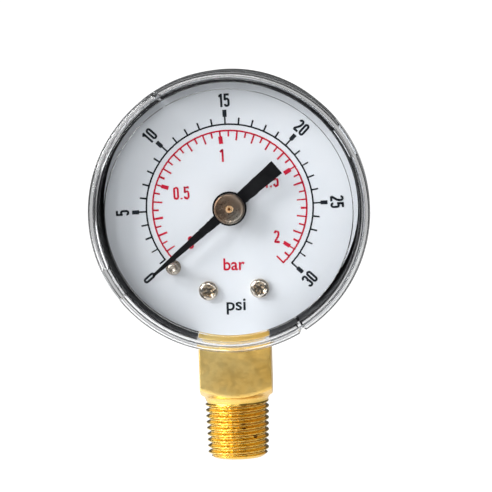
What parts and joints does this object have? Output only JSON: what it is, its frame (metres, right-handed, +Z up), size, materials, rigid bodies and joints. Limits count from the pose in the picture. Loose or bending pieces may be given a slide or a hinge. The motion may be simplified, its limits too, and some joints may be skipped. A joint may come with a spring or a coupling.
{
  "type": "pressure gauge",
  "caption": "Small round bourdon-tube pressure gauge: clear clip-on lens over a black case, white two-scale dial, black pointer, brass bottom stem with tapered thread and square shank.",
  "frame": {"origin": "on the inlet thread's axis, at the thread's gauge plane, 4 mm above the stem's small end", "axes": "+X to the right seen from the front, +Y towards the back of the case (the dial faces -Y), +Z up along the stem, from the thread to the case"},
  "size_m": [0.042, 0.0228, 0.0596],
  "materials": {
    "case_black": "satin black paint on pressed steel",
    "clear_plastic": "clear polished polycarbonate",
    "brass": "machined, slightly dulled",
    "bronze": "drawn phosphor bronze",
    "dial_white": "satin white, printed in black and red",
    "pointer_black": "matt black",
    "nickel": "nickel plated, turned",
    "steel": "plain turned steel"
  },
  "bodies": {
    "case": {"case": "case_black", "case_screws": "steel", "lens": "clear_plastic", "socket": "brass", "dial": "dial_white", "dial_screws": "nickel", "stop_pin": "nickel", "hairspring": "bronze", "hairspring_stud": "brass", "movement_front_plate": "brass", "movement_back_plate": "brass", "movement_pillars": "brass", "movement_plate_screws": "steel", "movement_mount_screws": "steel", "bourdon_tube": "bronze"},
    "pointer": {"pointer": "pointer_black", "pointer_hub": "nickel", "pinion_arbor": "bronze", "hairspring_collet": "brass"},
    "sector": {"sector_gear": "brass", "sector_arbor": "steel", "link_tail_pin": "steel"},
    "link": {"link": "brass"},
    "tube_end": {"tube_tip": "brass", "tip_pin": "steel"}
  },
  "joints": [
    {"name": "sector_turn", "type": "hinge", "parent": "case", "child": "sector", "pos_m": [0, 0, 0.0244], "axis": [0, -1, 0], "range_deg": [0, 22.07]},
    {"name": "pointer_turn", "type": "hinge", "parent": "case", "child": "pointer", "pos_m": [0, 0, 0.0348], "axis": [0, 1, 0], "range_deg": [0, 264.9], "deforming": ["hairspring"]},
    {"name": "link_turn", "type": "hinge", "parent": "sector", "child": "link", "pos_m": [0.00618, 0, 0.02239], "axis": [0, 1, 0], "range_deg": [0, 32.4]},
    {"name": "tube_flex", "type": "hinge", "parent": "case", "child": "tube_end", "pos_m": [-0.0134, 0, 0.04255], "axis": [0, -1, 0], "range_deg": [0, 4.85], "deforming": ["bourdon_tube"]}
  ],
  "couplings": [
    {"joint": "pointer_turn", "follows": "sector_turn", "ratio": 12},
    {"joint": "link_turn", "follows": "sector_turn", "ratio": 1.4617},
    {"joint": "tube_flex", "follows": "sector_turn", "ratio": 0.2177}
  ]
}
